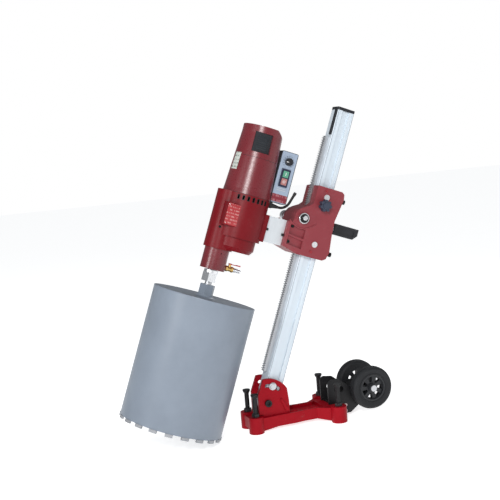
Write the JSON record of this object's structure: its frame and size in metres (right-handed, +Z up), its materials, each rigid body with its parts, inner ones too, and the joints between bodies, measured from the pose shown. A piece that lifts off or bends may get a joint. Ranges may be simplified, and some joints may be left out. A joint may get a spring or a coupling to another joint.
{
  "type": "core drill rig",
  "caption": "Wheeled core drill rig: tilting rack column, cranked carriage, geared motor with water collar, control box and large core bit.",
  "frame": {"origin": "on the floor, midway between the front of the bit and the back of the wheels, on the middle plane of the base", "axes": "+Z up, +X from the bit towards the wheels, +Y towards the feed lever"},
  "size_m": [0.957, 0.35, 1.0768],
  "materials": {
    "base_red": "bright red enamel",
    "motor_red": "dark red enamel on cast aluminium",
    "carriage_red": "dusty red enamel, dulled by dust",
    "black_metal": "black powder coat",
    "zinc": "zinc plated",
    "steel": "machined steel",
    "bright_steel": "polished, plated steel",
    "anodised": "pale anodised aluminium",
    "spacer_metal": "milled aluminium",
    "panel": "silver faced sheet",
    "bit_steel": "blue-grey painted steel tube",
    "diamond": "sintered metal",
    "tyre": "black rubber tread",
    "rim": "black moulded plastic",
    "black_plastic": "black moulded plastic",
    "switch_blue": "dark blue-black moulding",
    "brass": "machined brass",
    "lever_red": "dipped red handle",
    "green_button": "green moulding",
    "red_button": "pale red moulding",
    "windings": "varnished windings and laminations",
    "carbon": "carbon and insulating plastic",
    "seal_rubber": "black rubber",
    "lead_rubber": "black rubber sheath",
    "nylon": "natural nylon"
  },
  "bodies": {
    "stand_base": {"base_casting": "base_red", "tilt_cheeks": "base_red", "wheel_bracket": "black_metal", "wheel_axle": "zinc", "base_fasteners": "zinc", "pivot_bolt": "black_metal"},
    "near_wheel": {"near_tyre": "tyre", "near_rim": "rim"},
    "far_wheel": {"far_tyre": "tyre", "far_rim": "rim"},
    "screw_front_near": {"levelling_screw_front_near": "black_metal"},
    "screw_front_far": {"levelling_screw_front_far": "black_metal"},
    "screw_rear_near": {"levelling_screw_rear_near": "black_metal"},
    "screw_rear_far": {"levelling_screw_rear_far": "black_metal"},
    "column": {"column": "anodised", "column_cap": "black_plastic", "rack": "steel", "column_fasteners": "zinc", "column_foot": "steel"},
    "carriage": {"carriage_casting": "carriage_red", "roller_axles": "bright_steel", "carriage_fasteners": "black_metal", "gib_adjusters": "black_metal", "motor_spacer": "spacer_metal", "gear_case": "motor_red", "motor_housing": "motor_red", "motor_cover": "motor_red", "vent_grilles": "black_plastic", "stator": "windings", "brushes": "carbon", "bearings": "steel", "water_collar": "motor_red", "collar_seals": "seal_rubber", "valve_body": "brass", "hose_nozzle": "bright_steel", "control_box": "black_plastic", "control_panel": "panel", "switch_frame": "switch_blue", "box_bracket": "motor_red", "cable_gland": "seal_rubber", "mains_lead": "lead_rubber", "lead_end": "lead_rubber"},
    "low_rollers": {"guide_rollers_low": "nylon"},
    "top_rollers": {"guide_rollers_top": "nylon"},
    "clamp": {"clamp_knob": "black_plastic"},
    "feed_crank": {"feed_shaft": "bright_steel", "feed_lever": "steel", "feed_grip": "black_plastic"},
    "spindle_and_bit": {"spindle": "steel", "adapter_nut": "bright_steel", "core_bit": "bit_steel", "bit_segments": "diamond"},
    "layshaft": {"layshaft": "steel"},
    "armature": {"armature": "windings", "cooling_fan": "black_plastic"},
    "water_valve": {"valve_lever": "lever_red"},
    "dial": {"speed_dial": "black_plastic"},
    "start": {"start_button": "green_button"},
    "stop": {"stop_button": "red_button"}
  },
  "joints": [
    {"name": "near_wheel_spin", "type": "hinge", "parent": "stand_base", "child": "near_wheel", "pos_m": [0.40353, -0.059, 0.094], "axis": [0, 1, 0], "continuous": true},
    {"name": "far_wheel_spin", "type": "hinge", "parent": "stand_base", "child": "far_wheel", "pos_m": [0.40353, 0.059, 0.094], "axis": [0, 1, 0], "continuous": true},
    {"name": "front_near_levelling", "type": "slide", "parent": "stand_base", "child": "screw_front_near", "axis": [0, 0, 1], "range_m": [-0.02, 0.04]},
    {"name": "front_far_levelling", "type": "slide", "parent": "stand_base", "child": "screw_front_far", "axis": [0, 0, 1], "range_m": [-0.02, 0.04]},
    {"name": "rear_near_levelling", "type": "slide", "parent": "stand_base", "child": "screw_rear_near", "axis": [0, 0, 1], "range_m": [-0.02, 0.04]},
    {"name": "rear_far_levelling", "type": "slide", "parent": "stand_base", "child": "screw_rear_far", "axis": [0, 0, 1], "range_m": [-0.02, 0.04]},
    {"name": "column_tilt", "type": "hinge", "parent": "stand_base", "child": "column", "pos_m": [0.02353, 0, 0.095], "axis": [0, 1, 0], "range_deg": [-20.5, 24.5]},
    {"name": "carriage_feed", "type": "slide", "parent": "column", "child": "carriage", "axis": [0.3502, 0, 0.9367], "range_m": [-0.42, 0.27]},
    {"name": "feed_crank_turn", "type": "hinge", "parent": "carriage", "child": "feed_crank", "pos_m": [0.1947, 0, 0.71234], "axis": [0, 1, 0], "range_deg": [-1204, 774]},
    {"name": "low_roller_roll", "type": "hinge", "parent": "carriage", "child": "low_rollers", "pos_m": [0.22978, 0, 0.61808], "axis": [0, 1, 0], "range_deg": [-1900, 1225]},
    {"name": "top_roller_roll", "type": "hinge", "parent": "carriage", "child": "top_rollers", "pos_m": [0.28757, 0, 0.77263], "axis": [0, 1, 0], "range_deg": [-1225, 1900]},
    {"name": "clamp_turn", "type": "hinge", "parent": "carriage", "child": "clamp", "pos_m": [0.27179, -0.051, 0.74757], "axis": [0, -1, 0], "range_deg": [0, 720]},
    {"name": "spindle_spin", "type": "hinge", "parent": "carriage", "child": "spindle_and_bit", "pos_m": [-0.03865, 0, 0.79958], "axis": [0.3502, 0, 0.9367], "continuous": true},
    {"name": "layshaft_spin", "type": "hinge", "parent": "carriage", "child": "layshaft", "pos_m": [-0.00432, 0.03546, 0.78675], "axis": [0.3502, 0, 0.9367], "continuous": true},
    {"name": "armature_spin", "type": "hinge", "parent": "carriage", "child": "armature", "pos_m": [0.00912, 0, 0.78172], "axis": [0.3502, 0, 0.9367], "continuous": true},
    {"name": "water_valve_turn", "type": "hinge", "parent": "carriage", "child": "water_valve", "pos_m": [-0.05927, 0, 0.57882], "axis": [0.3502, 0, 0.9367], "range_deg": [0, 90]},
    {"name": "speed_dial_turn", "type": "hinge", "parent": "carriage", "child": "dial", "pos_m": [0.17344, -0.012, 0.90285], "axis": [0, 1, 0], "range_deg": [-35, 235]},
    {"name": "start_press", "type": "slide", "parent": "carriage", "child": "start", "axis": [0, 1, 0], "range_m": [0, 0.003], "stiffness_N_per_m": 300},
    {"name": "stop_press", "type": "slide", "parent": "carriage", "child": "stop", "axis": [0, 1, 0], "range_m": [0, 0.003], "stiffness_N_per_m": 300}
  ],
  "couplings": [
    {"joint": "feed_crank_turn", "follows": "carriage_feed", "rad_per_m": 50},
    {"joint": "low_roller_roll", "follows": "carriage_feed", "rad_per_m": 78.74},
    {"joint": "top_roller_roll", "follows": "carriage_feed", "rad_per_m": -78.74},
    {"joint": "layshaft_spin", "follows": "spindle_spin", "ratio": -2.6429},
    {"joint": "armature_spin", "follows": "spindle_spin", "ratio": 9.6104}
  ]
}
